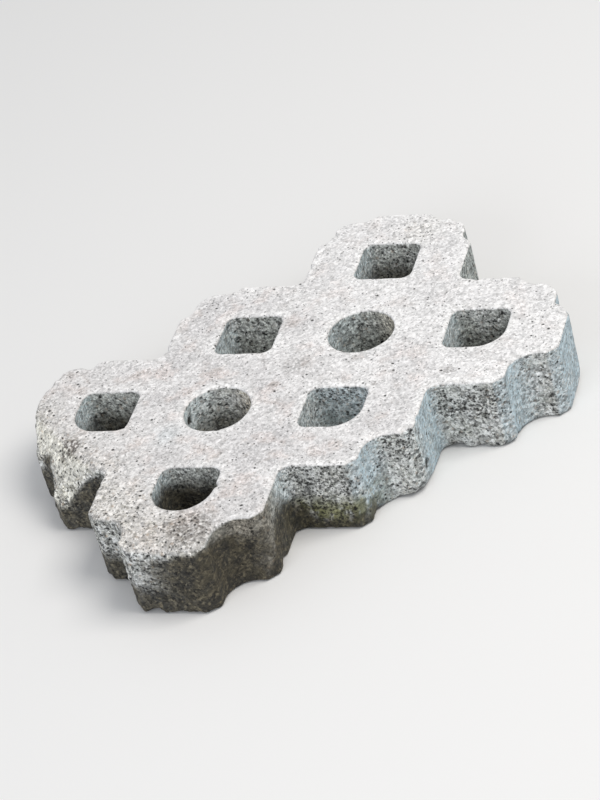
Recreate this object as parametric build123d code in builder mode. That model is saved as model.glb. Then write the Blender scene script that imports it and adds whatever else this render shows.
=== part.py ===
"""Precast concrete grass-grid slab, an open paving slab that interlocks with its neighbours.

The slab is one casting. Its openings stand on a square lattice that is turned 45 degrees to the
slab's length, so every side is a staircase of square cells. The outer cells of one long side and
of one end reach out in rounded noses. Those of the other long side and the other end have bites,
and each bite takes a nose of the next slab with a narrow joint.

Lengths are in millimetres. X runs along the slab, Y across it and Z up, and the origin is at the
middle of the slab's underside.
"""

import os
from math import sqrt

from build123d import *

# Driving dimensions
module_width = 400.0  # distance at which slabs repeat across, and half again as much along
thickness = 96.0
opening = 71.0  # side of a square opening
round_opening = 79.0  # diameter of a round opening
opening_corner = 12.0  # corner radius of a square opening
corner_flat = 3.0  # straight stretch left between two of its corners that face bites
male_reach = 99.0  # from the middle of an outer cell to its side, on the sides with noses
female_reach = 106.0  # the same, on the sides with bites
nose_reach = 86.0  # from the middle of an outer cell to the side of its nose
nose_radius = 28.0
nose_flank = 11.0  # straight stretch of a nose's side, from its sloping shoulder to its round tip
joint = 3.0  # gap between a nose and the bite that takes it
hollow_corner = 13.0  # radius of corners that point into the slab
outer_corner = 6.0  # radius of corners that point out of the slab
arris = 4.0  # worn edge round the top
base_arris = 5.0  # worn edge round the underside

# The corner that has broken off beside the end bite. Its points are a depth from the cell's side
# and a height from the cell's middle, and it ends at the lip of the bite.
break_start = (9.0, 46.0)
break_belly = (7.0, -8.0)
break_inset = 4.0  # how far the break stands inside the lip where it ends

# That cell's end is also worn down: its top rounds over and goes on as a slope to the lips
worn_length = 52.0  # along the slab, from the end of the flat top to the lips
worn_radius = 30.0
worn_slope = 45.0  # degrees below level

# The lattice: the cells within one step of its diagonal, without the two at the diagonal's ends
rows = 4
pitch = module_width / (2 * sqrt(2))
cells = [(i, j) for i in range(rows) for j in range(rows) if abs(i - j) <= 1 and 0 < i + j < 2 * (rows - 1)]
round_cells = [(k, k) for k in range(1, rows - 1)]
bite_end_cells = [(0, 1), (1, 0)]
nose_end_cells = [(rows - 2, rows - 1), (rows - 1, rows - 2)]
broken_cell = (0, 1)

# Each nose or bite is a cell and the way in which that corner of the cell points
right_up, left_up, left_down, right_down = 0, 90, 180, 270
noses = [((k, k + 1), left_up) for k in range(rows - 1)] + [(cell, right_up) for cell in nose_end_cells]
bites = [((k + 1, k), right_down) for k in range(rows - 1)] + [(cell, left_down) for cell in bite_end_cells]

# On a sloping shoulder the distances from the cell's middle along both lattice axes add up to this
shoulder_sum = 2 * nose_reach - nose_radius - nose_flank

# The noses stand out further than the bites' lips, so the lattice is off the slab's middle
nose_tip = nose_reach * sqrt(2) - nose_radius * (sqrt(2) - 1)
bite_lip = pitch * sqrt(2) - shoulder_sum / sqrt(2) - joint
off_centre = (nose_tip - bite_lip) / 2
lattice = Plane(origin=(-off_centre, -off_centre, 0), x_dir=(1, -1, 0), z_dir=(0, 0, 1))


def middle(cell):
    """The middle of a cell in the lattice plane."""
    return (cell[0] - (rows - 1) / 2) * pitch, (cell[1] - (rows - 1) / 2) * pitch


def reaches(cell):
    """How far a cell reaches to its left, right, bottom and top.

    Left and top lie on the long side with noses, and right and bottom on the one with bites. The
    notch in the middle of each end is the exception: both its sides are as that end is.
    """
    left = female_reach if cell == bite_end_cells[1] else male_reach
    right = male_reach if cell == nose_end_cells[0] else female_reach
    return left, right, female_reach, male_reach


def nose_face(gap, corner):
    """The face between the line round a nose that points right and up and the given corner.

    The line comes in along one sloping shoulder, rounds the nose and goes out along the other.
    With a gap it stands that far outside the nose. A corner beyond the nose gives the waste that
    is cut away round it, and a corner behind the nose gives the bite that takes it.
    """
    front = nose_reach + gap
    flank = nose_reach - nose_radius
    slope = shoulder_sum + gap * sqrt(2)
    with BuildSketch() as sketch:
        with BuildLine():
            right_side = Polyline((slope, 0), (front, slope - front), (front, flank))
            TangentArc(right_side @ 1, (flank, front), tangent=(0, 1))
            Polyline((flank, front), (slope - front, front), (0, slope))
            Polyline((0, slope), corner, (slope, 0))
        make_face()
    return sketch.sketch


def opening_face(cell):
    """A square opening with rounded corners, more rounded where a bite lies beyond the corner."""
    facing_bites = [turn for bitten, turn in bites if bitten == cell]
    corner_at_bite = (opening - corner_flat) / 2
    turns = (right_up, left_up, left_down, right_down)
    radii = [corner_at_bite if turn in facing_bites else opening_corner for turn in turns]
    half = opening / 2
    corners = [(half, half), (-half, half), (-half, -half), (half, -half)]
    with BuildSketch() as sketch:
        with BuildLine():
            FilletPolyline(*corners, radius=radii, close=True)
        make_face()
    return sketch.sketch


def lost_corner():
    """The face beyond the curved break, where the corner is gone, placed from the cell's middle."""
    start = (break_start[0] - male_reach, break_start[1])
    belly = (break_belly[0] - male_reach, break_belly[1])
    lip = (bite_lip - break_inset) / sqrt(2)
    end = (-lip, -lip)
    with BuildSketch() as sketch:
        with BuildLine():
            ThreePointArc(start, belly, end)
            Polyline(end, (-pitch, end[1]), (-pitch, start[1]), start)
        make_face()
    return sketch.sketch


def worn_away():
    """The face above the worn end, with X along the slab and Y upwards."""
    lips = lattice.from_local_coords(middle(broken_cell)).X - bite_lip
    beyond = lips - worn_length
    with BuildSketch() as sketch:
        with BuildLine():
            rounded = JernArc((lips + worn_length, thickness), (-1, 0), worn_radius, worn_slope)
            width = (rounded @ 1).X - beyond
            slope = PolarLine(rounded @ 1, width, direction=rounded % 1, length_mode=LengthMode.HORIZONTAL)
            Polyline(slope @ 1, (beyond, thickness), rounded @ 0)
        make_face()
    return sketch.sketch


nose_waste = nose_face(0.0, (pitch, pitch))
bite = nose_face(joint, (0, 0))
next_cell = Location((pitch, pitch, 0), (0, 0, 180))  # the next slab's nose, seen from a bite's cell

with BuildPart() as grid_slab:
    with BuildSketch(lattice):
        for cell in cells:
            left, right, down, up = reaches(cell)
            x, y = middle(cell)
            with Locations((x + (right - left) / 2, y + (up - down) / 2)):
                Rectangle(left + right, down + up)
        for cell, turn in noses:
            with Locations(Location((*middle(cell), 0), (0, 0, turn))):
                add(nose_waste, mode=Mode.SUBTRACT)
        for cell, turn in bites:
            with Locations(Location((*middle(cell), 0), (0, 0, turn)) * next_cell):
                add(bite, mode=Mode.SUBTRACT)
        with Locations(middle(broken_cell)):
            add(lost_corner(), mode=Mode.SUBTRACT)
        # Growing and shrinking the outline by a radius rounds its hollow corners, then its outer ones
        offset(amount=hollow_corner)
        offset(amount=-hollow_corner - outer_corner)
        offset(amount=outer_corner)
        for cell in cells:
            with Locations(middle(cell)):
                if cell in round_cells:
                    Circle(round_opening / 2, mode=Mode.SUBTRACT)
                else:
                    add(opening_face(cell), mode=Mode.SUBTRACT)
    extrude(amount=thickness)
    fillet(grid_slab.faces().sort_by(Axis.Z)[-1].edges(), radius=arris)
    fillet(grid_slab.faces().sort_by(Axis.Z)[0].edges(), radius=base_arris)
    # The worn cell is the end's only one on its side of the line through the middle of the end notch
    with BuildSketch(Plane.XZ.offset(off_centre)):
        add(worn_away())
    extrude(amount=-2 * pitch, mode=Mode.SUBTRACT)

grid_slab.part.label = "grid_slab"
os.makedirs("parts", exist_ok=True)
export_step(grid_slab.part, "parts/grid_slab.step")
print("slab", grid_slab.part.bounding_box(), "volume in litres", round(grid_slab.part.volume / 1e6, 2))
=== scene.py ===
# %% [markdown]
# Looks of a precast concrete grass-grid slab
#
# The slab is one casting of dry, vibrated concrete: eight openings in a lattice of webs, with a
# stepped outline of noses and bites. The imported CAD model has its exact form, with crisp, even
# edges. This lesson puts a weathered skin in its place. It follows the same outline, but its edges
# are worn, its sides are pitted and one end is worn down to the stones in the concrete. Then it
# gives the skin one material with everything that years outdoors have left on it, and with painted
# shade in its openings, hollows, voids and between its grains, a painted highlight along the top
# edges and a painted warm reflection in the round openings.

# %% Load the imported model
import math
from functools import partial

import bmesh
import bpy
import numpy as np
from mathutils import Matrix, Vector
from mathutils.geometry import delaunay_2d_cdt


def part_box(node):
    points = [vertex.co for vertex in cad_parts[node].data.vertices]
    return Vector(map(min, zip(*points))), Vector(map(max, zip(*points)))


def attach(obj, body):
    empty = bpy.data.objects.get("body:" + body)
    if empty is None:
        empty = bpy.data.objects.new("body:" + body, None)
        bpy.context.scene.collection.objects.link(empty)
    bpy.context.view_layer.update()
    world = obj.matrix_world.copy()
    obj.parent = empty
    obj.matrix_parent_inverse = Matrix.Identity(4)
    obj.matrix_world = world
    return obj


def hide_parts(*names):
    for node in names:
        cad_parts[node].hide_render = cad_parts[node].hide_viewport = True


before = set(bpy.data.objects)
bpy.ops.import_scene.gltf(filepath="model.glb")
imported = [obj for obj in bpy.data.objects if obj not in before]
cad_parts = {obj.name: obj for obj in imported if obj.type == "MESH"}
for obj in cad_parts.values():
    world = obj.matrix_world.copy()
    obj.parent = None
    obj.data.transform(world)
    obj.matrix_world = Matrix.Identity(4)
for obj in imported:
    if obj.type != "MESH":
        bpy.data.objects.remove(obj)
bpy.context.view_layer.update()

slab_node = "grid_slab"
slab_low, slab_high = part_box(slab_node)
thickness = slab_high.z
millimetre = 0.001

# %% [markdown]
# The slab's outline
#
# Every side of the slab stands upright, so a level cut at half height holds the whole plan: one
# line round the outside and one round each opening. The cut is made through a welded copy of the
# CAD mesh, and each line is laid out again with points at even distances. Lines that turn with the
# concrete on their left have the outward direction on their right, inside an opening too.


# %% Cut the CAD mesh at half height
def cross_section(node, height):
    """The closed lines in which a node's walls cross a level plane, each as an (n, 2) array."""
    cut = bmesh.new()
    cut.from_mesh(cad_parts[node].data)
    bmesh.ops.remove_doubles(cut, verts=cut.verts, dist=0.001 * millimetre)
    everything = cut.verts[:] + cut.edges[:] + cut.faces[:]
    plane = {"plane_co": (0, 0, height), "plane_no": (0, 0, 1)}
    bmesh.ops.bisect_plane(cut, geom=everything, clear_inner=True, clear_outer=True, **plane)
    lines = []
    seen = set()
    for first in cut.verts[:]:
        line = []
        onward = [first]
        while onward and onward[0] not in seen:
            line.append(onward[0])
            seen.add(onward[0])
            neighbours = [edge.other_vert(line[-1]) for edge in line[-1].link_edges]
            onward = [vert for vert in neighbours if vert not in seen]
        if len(line) > 2:
            lines.append(np.array([vert.co[:2] for vert in line]))
    cut.free()
    return lines


def enclosed_area(line):
    """The area inside a closed line, positive where it turns anticlockwise, by the shoelace sum."""
    following = np.roll(line, -1, axis=0)
    return 0.5 * np.sum(line[:, 0] * following[:, 1] - line[:, 1] * following[:, 0])


plan_lines = sorted(cross_section(slab_node, thickness / 2), key=lambda line: -abs(enclosed_area(line)))
for index, line in enumerate(plan_lines):
    anticlockwise = enclosed_area(line) > 0
    if anticlockwise != (index == 0):
        plan_lines[index] = line[::-1]
areas = [round(enclosed_area(line) * 1e4) for line in plan_lines]
print("plan lines", len(plan_lines), "areas in square cm", areas)


# %% Lay the lines out in even steps
def even_steps(line, step):
    """The closed line again, with its points at even distances of about one step along it."""
    closed = np.vstack([line, line[:1]])
    lengths = np.linalg.norm(np.diff(closed, axis=0), axis=1)
    along = np.concatenate([[0.0], np.cumsum(lengths)])
    count = round(along[-1] / step)
    at = np.arange(count) * along[-1] / count
    return np.column_stack([np.interp(at, along, closed[:, axis]) for axis in (0, 1)])


def outward(line, reach):
    """Unit directions that point out of the concrete: the line's direction, turned right.

    The direction at a point is taken from the points a few places before and after it, so that
    the short straight pieces of the CAD mesh don't show in it.
    """
    direction = np.roll(line, -reach, axis=0) - np.roll(line, reach, axis=0)
    direction /= np.linalg.norm(direction, axis=1, keepdims=True)
    return np.column_stack([direction[:, 1], -direction[:, 0]])


column_step = 2.6 * millimetre
fine_step = 1.0 * millimetre
columns = [even_steps(line, column_step) for line in plan_lines]
fine_lines = [even_steps(line, fine_step) for line in plan_lines]
wall_points = np.vstack(fine_lines)
wall_outward = np.vstack([outward(line, 2) for line in fine_lines])
print("columns", sum(len(line) for line in columns), "at steps of", round(column_step * 1000, 1), "mm")

# %% [markdown]
# Places on the slab
#
# What is worn or stained is placed by the lattice of the openings, as a maker would say it: a
# place (i, j) counts the diagonal rows of cells. The two round openings stand at (1, 1) and
# (2, 2). A circle is the shape whose rim is everywhere equally far from its middle, so those two
# are the openings whose distances vary least, and their middles give the lattice.


# %% The lattice of the openings
def roundness(line):
    """How much a closed line's distances from its middle vary, which is next to nothing on a circle."""
    return np.ptp(np.linalg.norm(line - line.mean(axis=0), axis=1))


round_middles = [line.mean(axis=0) for line in sorted(columns[1:], key=roundness)[:2]]
lattice_middle = (round_middles[0] + round_middles[1]) / 2
half_step = np.linalg.norm(round_middles[0] - round_middles[1]) / 2


def place(i, j):
    """The plan position of the lattice point (i, j), where cell (1, 1) is the first round opening."""
    return lattice_middle + half_step * np.array([i + j - 3.0, j - i])


print("lattice middle", lattice_middle.round(4), "half step", round(float(half_step), 4))

# %% [markdown]
# Random fields
#
# Wear is random, but the same in every run. Three small fields give all of it. Value noise blends
# random numbers that stand on a lattice of cubes, and gives soft lumps. Grains come from random
# seed points, one in each cube: the distance to the nearest one makes stones or pits. A patch is a
# soft round spot at a chosen place.


# %% Random numbers and soft lumps
def hashed(cell, seed):
    """A random number from 0 to 1 for each whole-numbered cell.

    Each coordinate is multiplied by a large number of its own and the three are joined by
    exclusive or. Two rounds of shifting and multiplying then stir the bits.
    """
    mixed = cell.astype(np.uint32) * np.array([73856093, 19349663, 83492791], np.uint32)
    key = mixed[..., 0] ^ mixed[..., 1] ^ mixed[..., 2] ^ np.uint32(seed * 2654435761 % 2**32)
    for shift, factor in ((16, 0x7FEB352D), (15, 0x846CA68B)):
        key = (key ^ (key >> np.uint32(shift))) * np.uint32(factor)
    key ^= key >> np.uint32(16)
    return key / 2.0**32


def lumps(points, size, seed, octaves=1):
    """Value noise from -1 to 1: random numbers on a lattice of that size, blended by smoothsteps.

    Each further octave adds the same at half the size and half the height.
    """
    total = np.zeros(len(points))
    for octave in range(octaves):
        scaled = points / size * 2**octave
        cell = np.floor(scaled).astype(np.int64)
        part = scaled - cell
        part = part * part * (3 - 2 * part)
        for corner in np.ndindex(2, 2, 2):
            weight = np.prod(np.where(corner, part, 1 - part), axis=1)
            total += weight * (2 * hashed(cell + corner, seed + octave) - 1) * 0.5**octave
    return total / (2 - 0.5 ** (octaves - 1))


print("three random numbers", hashed(np.eye(3, dtype=int), seed=1).round(3))


# %% Grains
def grains(points, size, seed):
    """The distance to the nearest of the random seed points, one a cube, and that seed's number.

    The distance is counted in cubes, and the number runs from 0 to 1.
    """
    scaled = points / size
    cell = np.floor(scaled).astype(np.int64)
    nearest = np.full(len(points), np.inf)
    number = np.zeros(len(points))
    for neighbour in np.ndindex(3, 3, 3):
        other = cell + neighbour - 1
        seed_point = other + np.column_stack([hashed(other, seed + axis) for axis in range(3)])
        distance = np.linalg.norm(scaled - seed_point, axis=1)
        closer = distance < nearest
        nearest = np.where(closer, distance, nearest)
        number = np.where(closer, hashed(other, seed + 3), number)
    return nearest, number


grain_distance, grain_number = grains(np.zeros((1, 3)), 7.0 * millimetre, seed=51)
print("nearest grain to the origin: cubes away", grain_distance.round(2), "number", grain_number.round(2))


# %% Soft steps and patches
def smoothstep(value, low, high):
    """0 up to low, 1 from high on, and between them t * t * (3 - 2 * t), t being the share of the way."""
    part = np.clip((value - low) / (high - low), 0, 1)
    return part * part * (3 - 2 * part)


def patch(points, i, j, radius, core=0.0):
    """A soft round spot: 1 within the core round a lattice place, 0 from the radius on, both in mm.

    The fall between them is a smoothstep of the distance in plan.
    """
    distance = np.linalg.norm(points[:, :2] - place(i, j), axis=1)
    return 1 - smoothstep(distance, core * millimetre, radius * millimetre)


three_places = np.array([place(1, 1), place(1.2, 1), place(2, 1)])
print("a patch of 60 mm at its middle, in its fall and outside", patch(three_places, 1, 1, 60).round(2))

# %% [markdown]
# The skin
#
# The skin starts as the CAD form itself, in three parts that share their edge points. Round every
# plan line a profile is carried: the rounded foot, the upright wall and the rounded top edge. The
# flat top and underside are filled between those bands with points in a pattern of triangles,
# joined by a Delaunay triangulation that keeps the bands' edges. So the whole skin is one closed
# mesh, and its triangles have about the same size wherever wear shows. A voxel remesh of the CAD
# form would be less work, but it blurs edges and has to be much finer to hold them.

# %% The profile that is carried round each line
arris = 4.0 * millimetre
base_arris = 5.0 * millimetre
wall_step = 3.2 * millimetre


def edge_profile():
    """The profile from the underside to the top, as inset, height and lean of each ring.

    Two quarter circles and the upright between them. The lean is the angle of the outward
    direction above the horizon: from straight down at the underside to straight up at the top.
    On a quarter circle the inset is its radius times 1 minus the cosine of the lean, and the
    height differs from that of its centre by the radius times the sine.
    """
    foot = np.linspace(-90, 0, 6)
    head = np.linspace(0, 90, 6)
    heights = np.linspace(base_arris, thickness - arris, round(thickness / wall_step))[1:-1]
    lean = np.radians(np.concatenate([foot, np.zeros(len(heights)), head]))
    radius = np.where(np.arange(len(lean)) < len(foot), base_arris, arris)
    inset = radius * (1 - np.cos(lean))
    arc_height = np.where(lean < 0, base_arris * (1 + np.sin(lean)), thickness - arris * (1 - np.sin(lean)))
    height = arc_height.copy()
    height[len(foot) - 1] = base_arris
    height[len(foot) : len(foot) + len(heights)] = heights
    return inset, height, lean


ring_inset, ring_height, ring_lean = edge_profile()
ring_count = len(ring_inset)
print("rings in the profile", ring_count)


# %% Carry the profile round every line
def band(line):
    """Points and unit outward directions of the profile carried round one line, ring by ring.

    A ring is the plan line moved inwards by the ring's inset and set at its height. Its direction
    is the wall's times the cosine of the lean, plus straight up times its sine.
    """
    out = outward(line, 1)
    plan = line[None] - ring_inset[:, None, None] * out[None]
    height = np.broadcast_to(ring_height[:, None, None], (*plan.shape[:2], 1))
    level = np.cos(ring_lean)[:, None, None] * out[None]
    rise = np.broadcast_to(np.sin(ring_lean)[:, None, None], (*plan.shape[:2], 1))
    return np.concatenate([plan, height], axis=2), np.concatenate([level, rise], axis=2)


def band_faces(first, column_count):
    """The quads of one band whose points start at index first, turned to face outwards."""
    ring, column = np.meshgrid(np.arange(ring_count - 1), np.arange(column_count), indexing="ij")
    beside = (column + 1) % column_count
    low = first + ring * column_count
    high = low + column_count
    return np.stack([low + column, low + beside, high + beside, high + column], axis=-1).reshape(-1, 4)


bands = [band(line) for line in columns]
starts = np.cumsum([0] + [ring_count * len(line) for line in columns])
quads = np.vstack([band_faces(first, len(line)) for first, line in zip(starts, columns)])
print("quads in the bands", len(quads))


# %% How far a point lies from the nearest wall
def nearest_wall(plan):
    """How far each plan point lies inside the concrete, and the outward direction of the wall there.

    The nearest point of the finely stepped lines is found for a block of points at a time. The
    distance is the way to it, measured along the outward direction that the wall has there.
    """
    inset = np.empty(len(plan))
    direction = np.empty((len(plan), 2))
    squares = (wall_points**2).sum(axis=1)
    block = 2000
    for first in range(0, len(plan), block):
        part = plan[first : first + block]
        nearest = np.argmin(squares[None] - 2 * part @ wall_points.T, axis=1)
        direction[first : first + block] = wall_outward[nearest]
        gap = wall_points[nearest] - part
        inset[first : first + block] = np.einsum("ij,ij->i", gap, wall_outward[nearest])
    return inset, direction


middle_inset, _ = nearest_wall(lattice_middle[None])
print("the lattice's middle lies", round(float(middle_inset[0]) * 1000, 1), "mm inside the nearest wall")


# %% Fill the flat top and underside
def filled_face(ring, spacing, margin, seed):
    """New plan points between the bands and the triangles that join all points of a flat face.

    The new points stand in rows of equal triangles, each pushed a little to a random side. The
    triangles that are kept lie within the outline and within no opening.
    """
    random = np.random.default_rng(seed)
    low = columns[0].min(axis=0)
    high = columns[0].max(axis=0)
    row_gap = spacing * math.sqrt(3) / 2
    across, up = np.meshgrid(np.arange(low[0], high[0], spacing), np.arange(low[1], high[1], row_gap))
    across[1::2] += spacing / 2
    grid = np.column_stack([across.ravel(), up.ravel()])
    grid += random.uniform(-0.16, 0.16, grid.shape) * spacing
    inset, _ = nearest_wall(grid)
    grid = grid[inset > margin]
    edge_points = [points[ring, :, :2] for points, _ in bands]
    edge_indices = [first + ring * len(line) + np.arange(len(line)) for first, line in zip(starts, columns)]
    given = np.vstack([*edge_points, grid])
    names = np.concatenate([*edge_indices, -1 - np.arange(len(grid))])
    first = np.cumsum([0] + [len(line) for line in columns])
    rims = [list(range(start, start + len(line))) for start, line in zip(first, columns)]
    rims[1:] = [rim[::-1] for rim in rims[1:]]
    corners = [Vector(point) for point in given.tolist()]
    _, _, made, origins, _, rims_round = delaunay_2d_cdt(corners, [], rims, 1, 1e-7, True)
    triangles = np.array([triangle for triangle, rim in zip(made, rims_round) if list(rim) == [0]])
    origin = np.array([known[0] for known in origins])
    return grid, names[origin[triangles]]


top_spacing = 2.8 * millimetre
base_spacing = 8.0 * millimetre
top_grid, top_faces = filled_face(ring_count - 1, top_spacing, arris + 0.6 * top_spacing, seed=11)
base_grid, base_faces = filled_face(0, base_spacing, base_arris + 0.6 * base_spacing, seed=12)
top_first = starts[-1]
base_first = top_first + len(top_grid)
top_faces = np.where(top_faces < 0, top_first - 1 - top_faces, top_faces)
base_faces = np.where(base_faces < 0, base_first - 1 - base_faces, base_faces)[:, ::-1]
triangle_count = 2 * len(quads) + len(top_faces) + len(base_faces)
print("top triangles", len(top_faces), "base triangles", len(base_faces), "in all", triangle_count)

# %% [markdown]
# Wear
#
# Weather and handling wear the edges, most of all at the low end that has lain in wet ground. On
# the real slab the top of one cell is worn down to a slope there, so each upright column of points
# is made shorter, and none of them fold over. A rounded edge is the old corner pressed back to a
# quarter circle of a larger radius. Chips are small bites out of the edge. Pits and lumps then
# move every point along its own outward direction. All of this could be sculpted by hand, but as
# arrays it follows the outline exactly, stays closed and comes out the same in every run.

# %% The undamaged form, point by point
flat_up = np.array([0.0, 0.0, 1.0])
points = np.vstack(
    [
        *[band_points.reshape(-1, 3) for band_points, _ in bands],
        np.column_stack([top_grid, np.full(len(top_grid), thickness)]),
        np.column_stack([base_grid, np.zeros(len(base_grid))]),
    ]
)
directions = np.vstack(
    [
        *[band_directions.reshape(-1, 3) for _, band_directions in bands],
        np.tile(flat_up, (len(top_grid), 1)),
        np.tile(-flat_up, (len(base_grid), 1)),
    ]
)
inset, plan_outward = nearest_wall(points[:, :2])
print("points", len(points))

# %% The end that is worn down
worn_length = 52.0 * millimetre
worn_radius = 30.0 * millimetre
worn_slope = math.radians(45)
unevenness = 0.16


def worn_down(x):
    """How far the top is worn down at a distance along the slab, and how steep it is there.

    A circle leads from the flat top over into a straight slope, which goes on to the slab's end.
    """
    along = np.clip(slab_low.x + worn_length - x, 0, None)
    on_circle = np.minimum(along, worn_radius * math.sin(worn_slope))
    below = np.sqrt(worn_radius**2 - on_circle**2)
    steepness = on_circle / below
    return np.stack([worn_radius - below + (along - on_circle) * steepness, steepness])


# Only the cell on the far side of the lattice's middle line is worn down
worn_cell = points[:, 1] > lattice_middle[1]
drop, steepness = worn_down(points[:, 0]) * worn_cell
drop *= 1 + unevenness * lumps(points * (1, 1, 0), 0.026, seed=26, octaves=2)
points[:, 2] *= 1 - drop / thickness
face_direction = np.column_stack([-steepness, 0 * steepness, np.ones(len(points))])
face_direction /= np.linalg.norm(face_direction, axis=1, keepdims=True)

# What faced straight up now faces away from the slope
directions += np.clip(directions[:, 2:], 0, 1) * (face_direction - flat_up)
directions /= np.linalg.norm(directions, axis=1, keepdims=True)
depth = (thickness - drop - points[:, 2]) * face_direction[:, 2]
print("worn down by up to", (drop.max() * 1000).round(1), "mm")

# %% Where the edges are worn
worn_from = 0.225
worn_through = 0.285
ragged = 0.018 * lumps(points, 0.030, seed=21, octaves=2)
worn_end = smoothstep(-points[:, 0] + ragged, worn_from, worn_through)
worn_face = smoothstep(drop, 0.0, 0.006)
lower_lip = patch(points, -0.20, 0.26, 45, core=10)
low_tip = patch(points, 1.13, -0.63, 70, core=20)
far_rough = patch(points, 2.20, 3.42, 45)
dropped_corner = patch(points, 2.73, 0.71, 45)

# By how many millimetres each of them widens the rounded edges
top_wear = 1.8 * worn_end + 1.8 * worn_face + 16.0 * lower_lip + 8.0 * low_tip + 1.5 * far_rough
top_wear += 0.6 * lumps(points, 0.012, seed=22, octaves=2)
top_wear += 0.9 * np.clip(lumps(points, 0.060, seed=23), 0, 1)
top_wear += 3.0 * worn_face * lumps(points, 0.018, seed=25, octaves=2)
base_wear = 1.5 * lumps(points, 0.018, seed=24, octaves=2) + 14.0 * dropped_corner
top_radius = arris + top_wear * millimetre
base_radius = base_arris + base_wear * millimetre
print("top edge radius in mm", (top_radius.min() * 1000).round(1), "to", (top_radius.max() * 1000).round(1))


# %% Round the edges
def press_back(from_face, face, radius):
    """Moves the points beyond a rounded edge back to it, and turns their directions with it.

    In the corner's own plane, a point stands this far from the wall and from the face. Inside the
    square of the radius it is pressed towards the square's inner corner until it is one radius
    from it.
    """
    to_wall = radius - inset
    to_face = radius - from_face
    in_corner = (to_wall > 0) & (to_face > 0)
    length = np.where(in_corner, np.hypot(to_wall, to_face), 1.0)
    excess = np.where(in_corner, np.clip(length - radius, 0, None), 0.0)
    wall = np.column_stack([plan_outward, np.zeros(len(points))])
    lean = wall * (to_wall / length)[:, None] + face * (to_face / length)[:, None]
    lean /= np.maximum(np.linalg.norm(lean, axis=1, keepdims=True), 1e-9)
    points[in_corner] -= (excess[:, None] * lean)[in_corner]
    directions[in_corner] = lean[in_corner]
    return int(in_corner.sum())


top_count = press_back(depth, face_direction, top_radius)
foot_count = press_back(points[:, 2].copy(), np.tile(-flat_up, (len(points), 1)), base_radius)
print("points at the rounded top edges", top_count, "and at the foot", foot_count)


# %% Chip the edges at random
def edge_bites(number, low, high, height, seed):
    """Random bites along the outer plan line, as places, radii and depths.

    The radii are spread from low to high by the square of a random number, so most are small.
    """
    random = np.random.default_rng(seed)
    chosen = random.integers(0, len(fine_lines[0]), number)
    places = np.column_stack([fine_lines[0][chosen], np.full(number, height)])
    radii = random.uniform(0, 1, number) ** 2 * (high - low) + low
    return places, radii, radii * random.uniform(0.15, 0.4, number)


def bite(places, radii, depths):
    """Presses the points near each place in, along their own directions.

    They move by the bite's depth within a quarter of its radius, and by less out to its radius,
    as a smoothstep. Where bites overlap, the deeper one counts.
    """
    moved = np.zeros(len(points))
    for middle, radius, bite_depth in zip(places, radii, depths):
        distance = np.linalg.norm(points - middle, axis=1)
        moved = np.maximum(moved, bite_depth * (1 - smoothstep(distance, 0.25 * radius, radius)))
    points[:] -= moved[:, None] * directions
    return moved


top_chips = edge_bites(36, 4.0 * millimetre, 9.0 * millimetre, thickness - millimetre, seed=31)
base_chips = edge_bites(60, 5.0 * millimetre, 14.0 * millimetre, millimetre, seed=32)
chip_depth = bite(*top_chips) + bite(*base_chips)
print("deepest chip in mm", (chip_depth.max() * 1000).round(1))


# %% Chips and pits at chosen places
def bite_at(bites):
    """Bites at lattice places (i, j), each with its height, radius and depth in millimetres."""
    places = np.array([[*place(i, j), height * millimetre] for i, j, height, _, _ in bites])
    sizes = np.array(bites)[:, 3:] * millimetre
    return bite(places, sizes[:, 0], sizes[:, 1])


near_top = thickness / millimetre - 2
top_marks = [(0.785, 0.91, near_top, 7, 3.5), (1.265, 0.03, near_top, 6, 3), (1.20, -0.13, near_top, 5, 2)]
torn_foot = [(2.88, 1.25, 2, 12, 5), (3.08, 1.25, 2, 9, 3)]
wall_pits = [(0.722, 1.02, 74, 7, 3.5), (0.749, 2.18, 86, 4, 2)]
wall_pits += [(2.75, 0.81, 30, 8, 4), (2.72, 0.75, 34, 5, 2.5)]
bite_at(top_marks)
bite_at(torn_foot)
# The chosen wall pits are also painted dark in the material, the deeper the darker: painted shade inside them
dark_depth = 1.5 * millimetre
deep = np.clip(bite_at(wall_pits) / dark_depth, 0, 1)
print("chosen bites", len(top_marks) + len(torn_foot) + len(wall_pits))

# %% Which way the surface faces, and how rough it is
# The pale film lies on the walls that face this way in plan
film_side = np.array([math.sqrt(0.5), -math.sqrt(0.5)])
faces_film = np.clip(plan_outward @ film_side, 0, 1) ** 1.5
upright = smoothstep(1 - np.abs(directions[:, 2]), 0.35, 0.9)
worn_top = (1 - upright) * np.clip(worn_face + 0.7 * low_tip, 0, 1)
rough = np.clip(worn_end * (1 - 0.5 * upright) + worn_top, 0, 1)
print("share of rough points", float(rough.mean().round(3)))

# %% Where the mix stayed open
# The sides have a band of voids below the top edge, and some walls have far more than others
below_edge = depth + 0.010 * lumps(points, 0.020, seed=41, octaves=2)
void_band = smoothstep(below_edge, 0.010, 0.022) * (1 - smoothstep(below_edge, 0.036, 0.056))
band_wall = patch(points, 3.02, 1.25, 85, core=50)
speckled_wall = patch(points, 2.02, 0.25, 85, core=50)
blue_opening = patch(points, 2, 1, 60, core=55)
open_rim = blue_opening + patch(points, 2.64, 0.68, 35, core=15)
voids = 0.12 * (1 - band_wall) + void_band * (0.15 + band_wall) + 0.50 * speckled_wall
voids = np.clip(voids + open_rim * (1 - smoothstep(below_edge, 0.014, 0.034)), 0, 1)
voids *= upright * (1 - 0.7 * faces_film)
print("voids on average", float(voids.mean().round(3)))

# %% Pits, lumps and bared stones
pit_distance, pit_number = grains(points, 7.0 * millimetre, seed=51)
pit_share = 0.03 + 0.40 * rough + 0.45 * voids + 0.2 * far_rough
pits = (pit_number < pit_share) * (1 - smoothstep(pit_distance, 0.15, 0.55))
stone_distance, stone_number = grains(points, 8.5 * millimetre, seed=61)
stones = rough * (0.5 + stone_number) * (1 - smoothstep(stone_distance, 0.2, 0.75))

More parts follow.
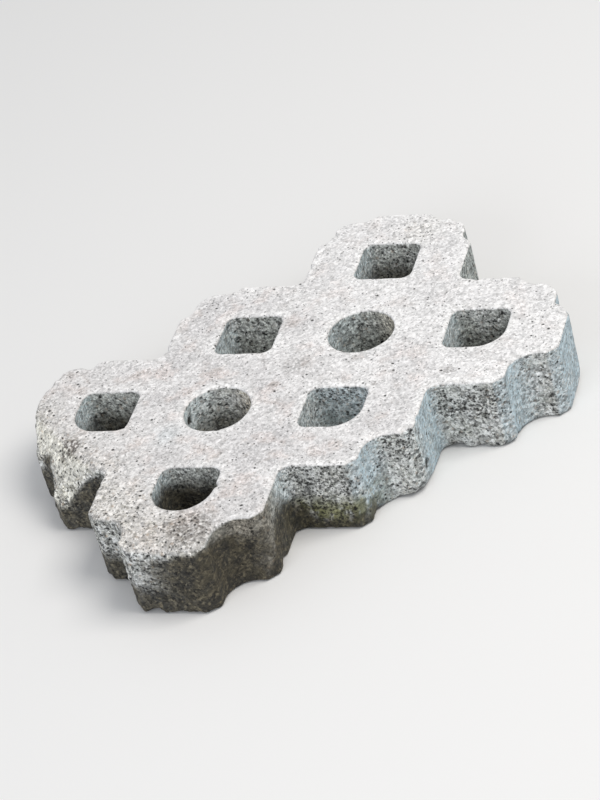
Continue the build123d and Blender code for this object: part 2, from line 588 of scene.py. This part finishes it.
# How many millimetres the surface sinks: at pits and rough places, in long waves and in grain
sunk = 1.6 * pits + 0.9 * rough - 1.3 * stones
sunk += 0.30 * (1 + lumps(points, 0.050, seed=71, octaves=2))
sunk += (0.14 + 0.30 * upright + 0.45 * rough) * (1 + lumps(points, 0.007, seed=72, octaves=2))
points -= np.clip(sunk, 0, None)[:, None] * millimetre * directions
points[:, 2] = np.clip(points[:, 2], 0, thickness)
print("sunk by", sunk.mean().round(2), "mm on average, at most", sunk.max().round(2))

# %% [markdown]
# Stains and painted shade
#
# What colours the surface depends on where it is: how low it lay in wet soil, which way the wall
# faces, what grew or dripped there, and where shade and a warm reflection are painted in. Painting
# it by hand would need an image. Instead each stain, painted shade and painted reflection is a
# number from 0 to 1 on every point of the mesh, which the material reads as an attribute and breaks
# up with its own finer patterns.

# %% Walls, openings and the low end
# The foot and the underside count as side walls, so that they are stained as the wall above them
number_of_point = np.arange(len(points))
side = np.where(directions[:, 2] < 0, 1.0, upright)
outer_wall = side * (number_of_point < starts[1])
in_opening = side * (number_of_point >= starts[1]) * (number_of_point < top_first)
underneath = number_of_point >= base_first
low_end = smoothstep(-points[:, 0], 0.10, 0.27)
print("points on the outer wall", int(np.sum(outer_wall > 0.5)), "in openings", int(np.sum(in_opening > 0.5)))

# %% [markdown]
# Wet soil and painted shade
#
# The slab lay in wet ground, which leaves a dark line that rises towards the low end. Above the
# line, soil clings in the bites and hollows of that end, and the same dark earth colour is painted
# there as shade, in the hollows and below the low tip where shade falls. Low down in the openings
# it is soil and painted shade too. A soft patch would have a smooth border, so the points are first
# moved about by a few millimetres of noise, and the patch comes out ragged.

# %% The wet line
low_corner = patch(points, 1.10, -0.30, 130, core=80)
low_flank = patch(points, 1.75, -0.02, 55, core=20)
wet_line = 0.004 + outer_wall * (0.045 * low_end + 0.045 * low_flank + 0.022 * speckled_wall)
wet_line += in_opening * (0.016 + 0.020 * low_end + 0.050 * low_corner) + 0.020 * underneath
height = points[:, 2] + 0.008 * lumps(points, 0.020, seed=81, octaves=2)
soil_and_shade = smoothstep(wet_line - height, -0.014, 0.024) * side
print("highest wet line in mm", (wet_line.max() * 1000).round(1))

# %% Soil and painted shade in the bites and hollows
wavy = points + 0.012 * np.column_stack([lumps(points, 0.013, seed, 2) for seed in (91, 92, 93)])
# Painted shade: at the end notch, the end hollow and the wall below the low tip, the earth colour stands
# partly for soil and partly for the shade that falls there
end_notch = patch(wavy, 0.06, 0.25, 50, core=24)
end_hollow = patch(wavy, -0.42, 0.60, 40, core=18)
near_hollow = patch(wavy, 1.35, -0.62, 105, core=45)
end_spot = patch(wavy, -0.45, 0.525, 24, core=6)
spared = 0.016 * patch(points, 1.62, -0.35, 70, core=20)
hollow_soil_and_shade = (end_notch + end_hollow) * smoothstep(below_edge, 0.004, 0.016)
hollow_soil_and_shade += near_hollow * smoothstep(below_edge - spared, 0.0, 0.020)
soil_and_shade = np.maximum(soil_and_shade, outer_wall * np.clip(hollow_soil_and_shade, 0, 1))
soil_and_shade = np.maximum(soil_and_shade, end_spot)
print("soil on average", float(soil_and_shade.mean().round(3)))

# %% The openings
# For each opening's cell: how dark its walls are painted, as painted shade, and how much painted
# shade in the earth colour lies low down on them, where little light reaches
opening_looks = {
    (0, 1): (0.60, 1.00),
    (1, 0): (0.60, 0.90),
    (1, 1): (0.05, 0.85),
    (1, 2): (0.45, 0.35),
    (2, 1): (0.00, 0.40),
    (2, 2): (0.75, 0.40),
    (2, 3): (0.50, 0.90),
    (3, 2): (0.50, 0.60),
}
near_opening = {cell: patch(points, *cell, 60, core=55) for cell in opening_looks}
opening_shade = sum(dark * near_opening[cell] for cell, (dark, _) in opening_looks.items())
deep_shade_share = sum(share * near_opening[cell] for cell, (_, share) in opening_looks.items())
# Painted shade: the lower walls of each opening take the earth colour, the deeper the more
painted_deep_shade = in_opening * deep_shade_share * smoothstep(below_edge, 0.012, 0.050)
soil_and_shade = np.maximum(soil_and_shade, 0.80 * painted_deep_shade)
# Painted reflection: warm light from the top, thrown onto the walls of the round openings that face away from
# the film's side
faces_away = np.clip(-plan_outward @ film_side, 0, 1)
painted_warm_reflection = in_opening * faces_away * (near_opening[1, 1] + 0.7 * near_opening[2, 2])
print("openings", len(near_opening))

# %% [markdown]
# Pale film and marks
#
# Lime has washed out of the walls that face one way and dried on them as a pale, bluish film. It
# has faded at some places, and one opening is coated all round. On the top lie dark smears of mud,
# and beside one lip the paste is gone and the wall is cream-coloured. Each is a patch at the
# lattice place where the real slab has it.

# %% The pale film, and painted shade on the walls
end_wall = patch(points, 2.70, 3.10, 100, core=60)
fading = 0.45 * patch(points, 1.75, -0.02, 60, core=30) + 0.6 * patch(points, 2.64, 0.68, 35, core=12)
fading += 0.8 * end_wall + 0.3 * in_opening * blue_opening
film = faces_film * (outer_wall + 0.5 * in_opening) * (1 - fading)
film += 0.45 * blue_opening * side * (1 - faces_film)
# Painted shade: the walls in the openings, the left wall of the coated opening more, and the far end wall are
# darkened where shade falls on them
shade = in_opening * (opening_shade + 0.35 * blue_opening * faces_film**2)
shade += 0.8 * outer_wall * end_wall * faces_film
print("film on average", float(film.mean().round(3)))

# %% Smears and the cream-coloured lip
# Each smear is a lattice place (i, j), a radius in mm and its strength
smears = [
    (-0.17, 0.54, 20, 1.00),
    (1.19, -0.48, 38, 0.75),
    (1.25, 1.62, 5, 0.60),
    (1.31, 2.12, 20, 0.25),
    (1.43, 1.29, 5, 0.70),
    (1.55, 1.55, 24, 0.35),
    (1.76, 3.52, 7, 0.40),
    (2.29, 1.28, 6, 0.80),
    (2.88, 1.42, 11, 0.60),
]
smeared = sum(strength * patch(points, i, j, size, core=0.4 * size) for i, j, size, strength in smears)
lip_wall = outer_wall * patch(points, -0.24, 0.28, 32, core=14) * (1 - smoothstep(depth, 0.030, 0.055))
algae = outer_wall * patch(points, 2.02, 0.32, 90, core=30) * (1 - smoothstep(height, 0.028, 0.056))
print("smears", len(smears))

# %% Numbers for the material
stains = {
    "wall": side,
    "worn": np.clip(rough + 0.6 * far_rough, 0, 1),
    "voids": voids,
    # Painted shade in the openings and on the far end wall
    "opening": np.clip(shade, 0, 1),
    "soil_and_shade": soil_and_shade,
    "algae": algae,
    "film": np.clip(film, 0, 1),
    "brown": outer_wall * patch(points, 1.50, -0.42, 90, core=40),
    # A painted warm reflection in the round openings
    "painted_warm_reflection": painted_warm_reflection,
    "lime": (1 - side) * patch(points, 0.66, 0.66, 30),
    "smear": (1 - side) * smeared,
    "cream": np.clip(worn_top * worn_face + lip_wall, 0, 1),
    "low": low_end,
    "deep": deep,
    # Paler along the top edges: partly worn paler, partly a painted highlight
    "rim": (1 - side) * (1 - smoothstep(inset, 0.005, 0.015)) * (1 - low_end),
    "bleached": smoothstep(points[:, 0], -0.05, 0.20),
}
print("stains", {name: float(values.mean().round(3)) for name, values in stains.items()})

# %% [markdown]
# The mesh
#
# Until here everything is arrays. Now they become one mesh object with smooth shading, and each
# stain an attribute of its points. The form's place is in the mesh, and the object itself stays at
# the origin, so that patterns in the object's coordinates stay where they are. On a closed mesh
# every edge has exactly two faces, which is counted at the end.


# %% Build the mesh
def surface(name, positions, face_lists, attributes):
    """A smooth closed mesh object from arrays, with one number per point for each attribute."""
    mesh = bpy.data.meshes.new(name)
    faces = [face for group in face_lists for face in group.tolist()]
    mesh.from_pydata(positions.tolist(), [], faces)
    mesh.shade_smooth()
    for attribute_name, values in attributes.items():
        attribute = mesh.attributes.new(attribute_name, "FLOAT", "POINT")
        attribute.data.foreach_set("value", values.astype(np.float32))
    mesh.update()
    piece = bpy.data.objects.new(name, mesh)
    bpy.context.scene.collection.objects.link(piece)
    return piece


slab = surface("slab_skin", points, [quads, top_faces, base_faces], stains)
check = bmesh.new()
check.from_mesh(slab.data)
open_edges = sum(1 for edge in check.edges if len(edge.link_faces) != 2)
print("skin volume in litres", round(check.calc_volume(signed=True) * 1000, 2), "open edges", open_edges)
check.free()

# %% [markdown]
# Concrete
#
# Pressed concrete is cement paste, sand and stones of a few millimetres. Its top was troweled by
# the press and has bleached to a pale warm grey. Its sides were pulled through the mould and are
# coarser and darker. Everything is dull, with a roughness near 1, and its relief is pits and sand
# grain. All patterns are three-dimensional and read the object's own coordinates, so that they run
# round the edges without seams. An image would have to be unwrapped and would show its seams.


# %% Helpers for materials
def linear(hex_colour):
    """The linear colour of an sRGB hex value, by the standard curve."""
    channels = np.array([int(hex_colour[at : at + 2], 16) for at in (0, 2, 4)]) / 255
    curve = np.where(channels <= 0.04045, channels / 12.92, ((channels + 0.055) / 1.055) ** 2.4)
    return (*curve.tolist(), 1.0)


def empty_material(name):
    """A material with nothing in its node tree yet."""
    material = bpy.data.materials.new(name)
    material.use_nodes = True
    material.node_tree.nodes.clear()
    return material


def add_node(material, kind, inputs=None, **settings):
    """Adds a node, sets its settings, and links or fills its inputs by name or number."""
    node = material.node_tree.nodes.new(kind)
    for name, value in settings.items():
        setattr(node, name, value)
    for key, value in (inputs or {}).items():
        if isinstance(value, bpy.types.NodeSocket):
            material.node_tree.links.new(value, node.inputs[key])
        else:
            node.inputs[key].default_value = value
    return node


print("pale concrete is", [round(c, 3) for c in linear("D9D6D2")])

# %% The concrete's coordinates and stains
# To the eye: dull and pale, smooth and warm on the top, coarse, pitted and cooler on the sides
concrete = empty_material("weathered_pressed_concrete")

# From here on, add puts a node into this material
add = partial(add_node, concrete)
where = add("ShaderNodeTexCoord").outputs["Object"]
stain = {name: add("ShaderNodeAttribute", attribute_name=name).outputs["Fac"] for name in stains}
print("stains read by the concrete", len(stain))

# %% [markdown]
# Voids
#
# A dry mix keeps small holes where the paste didn't close: a few on the top, many on the sides
# where the mix stayed open, and at the worn end. The large ones are in the mesh. The small ones
# are too many for it, so they are a pattern. A Voronoi texture has one seed point in each cell, and
# the distance to it makes a round hole. The cell's random colour says whether it has a hole, and
# how wide that is.
# Each hole is also painted nearly black: painted shade, for the shade inside it.


# %% How many cells have a void
def weighted(base, *terms):
    """A weighted sum: the base plus each value times its weight."""
    for value, weight in terms:
        base = add("ShaderNodeMath", {0: value, 1: weight, 2: base}, operation="MULTIPLY_ADD").outputs[0]
    return base


def clouds(millimetres, low=None, high=None, **shape):
    """Soft clouds of about that size, from 0 at the noise's low value to 1 at its high one.

    Without a low and a high value they are the noise itself, which stays near a half.
    """
    inputs = {"Vector": where, "Scale": 1000 / millimetres, "Detail": 3.0} | shape
    cloud = add("ShaderNodeTexNoise", inputs).outputs["Fac"]
    if low is None:
        return cloud
    inputs = {"Value": cloud, "From Min": low, "From Max": high}
    return add("ShaderNodeMapRange", inputs, interpolation_type="SMOOTHSTEP").outputs["Result"]


fine_share = weighted(0.10, (stain["worn"], 0.24), (stain["voids"], 0.65))
coarse_share = weighted(0.015, (stain["worn"], 0.20), (stain["voids"], 0.62), (clouds(55, 0.54, 0.68), 0.06))
print("nodes after the shares of voids", len(concrete.node_tree.nodes))


# %% Patterns of pits
def together(first, *others):
    """Where several masks hold at once: their product."""
    for mask in others:
        first = add("ShaderNodeMath", {0: first, 1: mask}, operation="MULTIPLY").outputs[0]
    return first


def scattered_pits(millimetres, share, size, depth=1.0):
    """Round pits in a share of the cells of that size in millimetres.

    Each has its own radius, from 0.4 to 1 times the size, counted in cells. A pit is at its full
    depth in the inner 0.4 of its radius and rises by a smoothstep to its rim.
    """
    cell = add("ShaderNodeTexVoronoi", {"Vector": where, "Scale": 1000 / millimetres})
    chance = add("ShaderNodeSeparateColor", {"Color": cell.outputs["Color"]})
    chosen = add("ShaderNodeMath", {0: chance.outputs[0], 1: share}, operation="LESS_THAN").outputs[0]
    radius = weighted(0.4 * size, (chance.outputs[1], 0.6 * size))
    outwards = add("ShaderNodeMath", {0: cell.outputs["Distance"], 1: radius}, operation="DIVIDE").outputs[0]
    inputs = {"Value": outwards, "From Min": 1.0, "From Max": 0.4}
    hole = add("ShaderNodeMapRange", inputs, interpolation_type="SMOOTHSTEP").outputs["Result"]
    return together(depth, chosen, hole)


inputs = {"Value": stain["voids"], "From Min": 0.3, "From Max": 1.0}
most_open = add("ShaderNodeMapRange", inputs, interpolation_type="SMOOTHSTEP").outputs["Result"]
pits = stain["deep"]
for pattern in (
    scattered_pits(3.0, fine_share, 0.55, depth=0.8),
    scattered_pits(5.5, coarse_share, 0.50),
    scattered_pits(3.6, together(0.7, most_open), 0.72, depth=0.9),
):
    pits = add("ShaderNodeMath", {0: pits, 1: pattern}, operation="MAXIMUM").outputs[0]
print("nodes after the voids", len(concrete.node_tree.nodes))

# %% [markdown]
# Cement, sand and stones
#
# The top is in warm greys with rosy clouds, and palest at the dry end and along the rims, whose
# edge is worn paler and carries a painted highlight. The sides are cooler and darker, with the
# bluish film, a brown stretch, painted shade in the openings and a painted warm reflection in the
# round ones. Each of these is a coat over the one before, as a painter would build it up. Then come
# the grains of the mix, which give concrete its speckle: sand all over, with painted shade between
# its grains, and bared stones where the paste has gone.


# %% Cement of the top
def coat(under, over, share, *masks, way="MIX"):
    """Covers a colour with another, by that share where every mask is 1 and not at all where one is 0.

    A colour is a hex value or comes from other nodes. The Mix node has sockets for each type of
    data: 0 is the factor, 6 and 7 are the two colours, and output 2 is the mixed colour.
    """
    under, over = [linear(colour) if isinstance(colour, str) else colour for colour in (under, over)]
    inputs = {0: together(share, *masks), 6: under, 7: over}
    return add("ShaderNodeMix", inputs, data_type="RGBA", blend_type=way).outputs[2]


top = coat("E8E6E5", "DBD9D9", 1.0, clouds(60, 0.38, 0.62))
top = coat(top, "E2D5D0", 0.55, clouds(34, 0.50, 0.70))
top = coat(top, "B9B4B1", 0.45, clouds(17, 0.56, 0.74, Detail=4.0))
top = coat(top, "F4F3F2", 0.50, stain["bleached"])
top = coat(top, "CECAC6", 0.25, stain["low"])
# The pale rim is partly worn paler and partly a painted highlight along the top edges
top = coat(top, "F6F5F3", 0.50, stain["rim"])
top = coat(top, "CFCABE", 0.30, stain["worn"])
print("nodes after the top", len(concrete.node_tree.nodes))

# %% Cement of the sides
film_cover = together(stain["film"], clouds(30, 0.12, 0.45))
wall = coat("DCDEDC", "C9CBC7", 1.0, clouds(26, 0.35, 0.65))
# Painted shade: the walls in the openings and the far end wall turn a darker grey
wall = coat(wall, "9B9F9D", 1.0, stain["opening"])
wall = coat(wall, "CCE0E9", 0.95, film_cover)
wall = coat(wall, "7F7769", 0.85, stain["brown"])
# A painted warm reflection on the far walls of the round openings
wall = coat(wall, "DFCDB4", 0.70, stain["painted_warm_reflection"])
colour = coat(top, wall, 1.0, stain["wall"])
colour = coat(colour, "FBF8EC", 0.95, stain["cream"])
colour = coat(colour, "8B877B", 0.42, stain["worn"], clouds(9, 0.54, 0.66, Detail=4.0, Roughness=0.6))
print("nodes after the sides", len(concrete.node_tree.nodes))

# %% Sand
# Real sand of 1 to 2 mm is drawn up to 4 mm wide so that it shows. The film hides half of it. Its
# light and dark follow the grain height that the bump uses, so it is partly the sand's own colour and
# partly painted shade between the grains
grain_height = clouds(2.6, Roughness=0.7)
bare = weighted(1.0, (film_cover, -0.55))
inputs = {"Value": grain_height, "From Min": 0.34, "From Max": 0.66}
grain_light = add("ShaderNodeMapRange", inputs, interpolation_type="SMOOTHSTEP").outputs["Result"]
sand = coat("7F7C76", "F4F2EE", 1.0, grain_light)
colour = coat(colour, sand, weighted(0.40, (stain["wall"], 0.30)), bare, way="OVERLAY")
print("nodes after the sand", len(concrete.node_tree.nodes))

# %% Bared stones
stone_millimetres = 5.0
stone = add("ShaderNodeTexVoronoi", {"Vector": where, "Scale": 1000 / stone_millimetres})
stone_tone = add("ShaderNodeSeparateColor", {"Color": stone.outputs["Color"]})

# Each mask rises from 0 to 1 between two limits of its value, and falls where they are swapped
stone_limits = {
    "rosy": (stone_tone.outputs[1], 0.80, 0.95),
    "chosen": (stone_tone.outputs[2], 0.45, 0.60),
    "within": (stone.outputs["Distance"], 0.55, 0.30),
}
stone_mask = {}
for name, (value, low, high) in stone_limits.items():
    inputs = {"Value": value, "From Min": low, "From Max": high}
    rise = add("ShaderNodeMapRange", inputs, interpolation_type="SMOOTHSTEP")
    stone_mask[name] = rise.outputs["Result"]
stone_colour = coat("8A8780", "E4E0D6", 1.0, stone_tone.outputs[0])
stone_colour = coat(stone_colour, "B39C86", 1.0, stone_mask["rosy"])
bared = together(stone_mask["within"], stone_mask["chosen"])
bared_share = weighted(0.08, (stain["wall"], 0.35), (stain["worn"], 0.40))
colour = coat(colour, stone_colour, bared_share, bared)
print("nodes after the stones", len(concrete.node_tree.nodes))

# %% [markdown]
# Dirt, and painted shade in the earth colour
#
# Years outdoors leave lime, smears of mud, grey streaks that run down the sides, algae just above
# the wet line, and the wet soil itself. Streaks are clouds drawn out upright: the coordinates are
# squeezed in height before the noise reads them. The earth colour is soil and also painted shade, in
# the hollows and low in the openings. Its border is broken up by noise, so that it lies in clods and
# not along a drawn line.

# %% Lime, smears, streaks, algae, and soil with painted shade
colour = coat(colour, "D9E6EA", 0.30, stain["lime"])
colour = coat(colour, "564C45", 0.85, stain["smear"], clouds(4, 0.38, 0.58))
drawn_out = add("ShaderNodeMapping", {"Vector": where, "Scale": (1.0, 1.0, 0.10)}).outputs["Vector"]
colour = coat(colour, "787A74", 0.32, stain["wall"], clouds(9, 0.50, 0.72, Vector=drawn_out))
colour = coat(colour, "75743F", 0.85, stain["algae"], clouds(12, 0.30, 0.52))
# The earth colour, for soil and for painted shade
dark_earth_and_shade = coat("453F2F", "2A271F", 1.0, clouds(14, 0.40, 0.62))
dark_earth_and_shade = coat(dark_earth_and_shade, "6A624F", 1.0, clouds(4, 0.48, 0.68))
broken_level = weighted(clouds(8, Detail=5.0, Roughness=0.7), (stain["soil_and_shade"], 1.0))
inputs = {"Value": broken_level, "From Min": 0.55, "From Max": 1.30}
broken_cover = add("ShaderNodeMapRange", inputs, interpolation_type="SMOOTHSTEP").outputs["Result"]
damp_and_shade = together(stain["soil_and_shade"], broken_cover)
colour = coat(colour, dark_earth_and_shade, 0.94, damp_and_shade)
print("nodes after the dirt", len(concrete.node_tree.nodes))


# %% Light and dark grains
def grain_tone(millimetres):
    """A random tone from -1 to 1 for each grain of that size: a number of its Voronoi cell."""
    grain = add("ShaderNodeTexVoronoi", {"Vector": where, "Scale": 1000 / millimetres})
    tone = add("ShaderNodeSeparateColor", {"Color": grain.outputs["Color"]})
    return weighted(-1.0, (tone.outputs[0], 2.0))


# Wider than real sand, for the same reason as above
coarse_tone = together(grain_tone(4.2), weighted(0.55, (stain["wall"], 0.40)))
tones = weighted(coarse_tone, (grain_tone(2.4), 0.9))
contrast = together(weighted(0.25, (stain["worn"], 0.14), (stain["wall"], 0.32)), bare)
colour = coat(colour, weighted(1.0, (tones, contrast)), 1.0, way="MULTIPLY")
# Painted shade: voids and pits are painted nearly black, as the shade inside them
colour = coat(colour, "25241F", 0.92, pits)
print("nodes after the grains", len(concrete.node_tree.nodes))

# %% [markdown]
# Relief and shader
#
# The mesh has the lumps and the large pits. What is finer than its triangles is bump: sand grain,
# stones that stand out, and the voids. Concrete is a mineral, so it has no metal and an IOR of 1.5.
# It scatters light almost evenly, and where the earth colour lies, soil and painted shade alike, it
# is a little less dull.

# %% Finish the concrete
relief = weighted(0.0, (grain_height, 0.55), (clouds(5), 0.9), (bared, 0.35), (pits, -1.1))
relief_height = 0.9 * millimetre
bump = add("ShaderNodeBump", {"Height": relief, "Distance": relief_height, "Strength": 1.0})
dull = weighted(0.94, (damp_and_shade, -0.22))
inputs = {"Base Color": colour, "Roughness": dull, "Normal": bump.outputs["Normal"], "IOR": 1.5}
shader = add("ShaderNodeBsdfPrincipled", inputs)
add("ShaderNodeOutputMaterial", {"Surface": shader.outputs["BSDF"]})
slab.data.materials.append(concrete)
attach(slab, "root")
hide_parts(slab_node)
print("nodes in the concrete", len(concrete.node_tree.nodes))

# %% [markdown]
# Floor, light and camera
#
# The floor is plain and pale. A camera ray sees it near white with the slab's shadow on it, and
# other rays see it darker, so that it doesn't light the slab's sides from below. The light is one
# wide soft lamp overhead and a weak one from the side, at a level where a level surface renders
# about in its own colour. The camera looks at the slab in the direction, with the roll and from
# the distance that its lattice has in the picture it follows, so the foreshortening is the same.


# %% Floor and surroundings
def pale_floor():
    """A matt painted floor, plain and without gloss, so that only the slab has texture.

    Camera, gloss and glass rays see it near white, and all other light sees a middle grey.
    """
    material = empty_material("matt_painted_floor")
    rays = add_node(material, "ShaderNodeLightPath").outputs
    seen = rays["Is Camera Ray"]
    for other in ("Is Glossy Ray", "Is Transmission Ray"):
        seen = add_node(material, "ShaderNodeMath", {0: seen, 1: rays[other]}, operation="MAXIMUM").outputs[0]
    inputs = {0: seen, 6: linear("9C9B99"), 7: linear("F4F3F1")}
    tint = add_node(material, "ShaderNodeMix", inputs, data_type="RGBA")
    matt = add_node(material, "ShaderNodeBsdfDiffuse", {"Color": tint.outputs[2]})
    add_node(material, "ShaderNodeOutputMaterial", {"Surface": matt.outputs[0]})
    return material


floor_half = 20.0
floor_corners = [(-1, -1), (1, -1), (1, 1), (-1, 1)]
floor_mesh = bpy.data.meshes.new("floor")
floor_mesh.from_pydata([(x * floor_half, y * floor_half, 0.0) for x, y in floor_corners], [], [(0, 1, 2, 3)])
floor = bpy.data.objects.new("floor", floor_mesh)
bpy.context.scene.collection.objects.link(floor)
floor_mesh.materials.append(pale_floor())

sky_level = 0.48
world = bpy.data.worlds.new("soft_sky")
bpy.context.scene.world = world
world.use_nodes = True
world.node_tree.nodes["Background"].inputs["Color"].default_value = linear("F7FAFF")
world.node_tree.nodes["Background"].inputs["Strength"].default_value = sky_level
print("floor", 2 * floor_half, "m wide, sky level", sky_level)


# %% Lamps
def soft_lamp(name, position, size, level, hex_colour):
    """A square lamp aimed at the slab, whose strength is given as the level it adds there.

    A matt white surface that faces a lamp of power P, far away at distance d, has a level of
    P / (pi * pi * d * d).
    """
    light = bpy.data.lights.new(name, "AREA")
    light.shape = "SQUARE"
    light.size = size
    light.color = linear(hex_colour)[:3]
    distance = Vector(position).length
    light.energy = level * math.pi**2 * distance**2
    lamp = bpy.data.objects.new(name, light)
    lamp.location = position
    lamp.rotation_euler = (-Vector(position)).to_track_quat("-Z", "Y").to_euler()
    bpy.context.scene.collection.objects.link(lamp)
    return lamp


key_lamp = soft_lamp("key_lamp", (1.7, -1.6, 4.0), 2.4, 0.55, "FFFCF8")
fill_lamp = soft_lamp("fill_lamp", (-3.6, -2.2, 2.0), 2.4, 0.205, "F1F6FF")
print("lamp powers in watts", round(key_lamp.data.energy, 1), round(fill_lamp.data.energy, 1))

# %% Camera
# The lens is the picture's own, enlarged and aimed so that the whole slab fills the frame
camera_place = Vector((-0.929, -2.422, 1.915))
photo_view = Vector((0.2322, 0.8281, -0.5102)).normalized()
photo_roll = math.radians(-18.85)
photo_focal_length = 80.1
enlargement = 1.52
aim = Vector((0.0, 0.0, 0.045))

level_right = photo_view.cross(Vector((0, 0, 1))).normalized()
level_up = level_right.cross(photo_view)
right = math.cos(photo_roll) * level_right + math.sin(photo_roll) * level_up
up = right.cross(photo_view)
pan = photo_view.rotation_difference((aim - camera_place).normalized()).to_matrix()
axes = pan @ Matrix((right, up, -photo_view)).transposed()

camera_data = bpy.data.cameras.new("camera")
camera_data.sensor_width = 36.0
camera_data.lens = photo_focal_length * enlargement
camera = bpy.data.objects.new("camera", camera_data)
camera.matrix_world = Matrix.Translation(camera_place) @ axes.to_4x4()
bpy.context.scene.collection.objects.link(camera)
bpy.context.scene.camera = camera
bpy.context.scene.view_settings.view_transform = "Standard"
print("camera", [round(x, 3) for x in camera_place], "lens", round(camera_data.lens, 1))
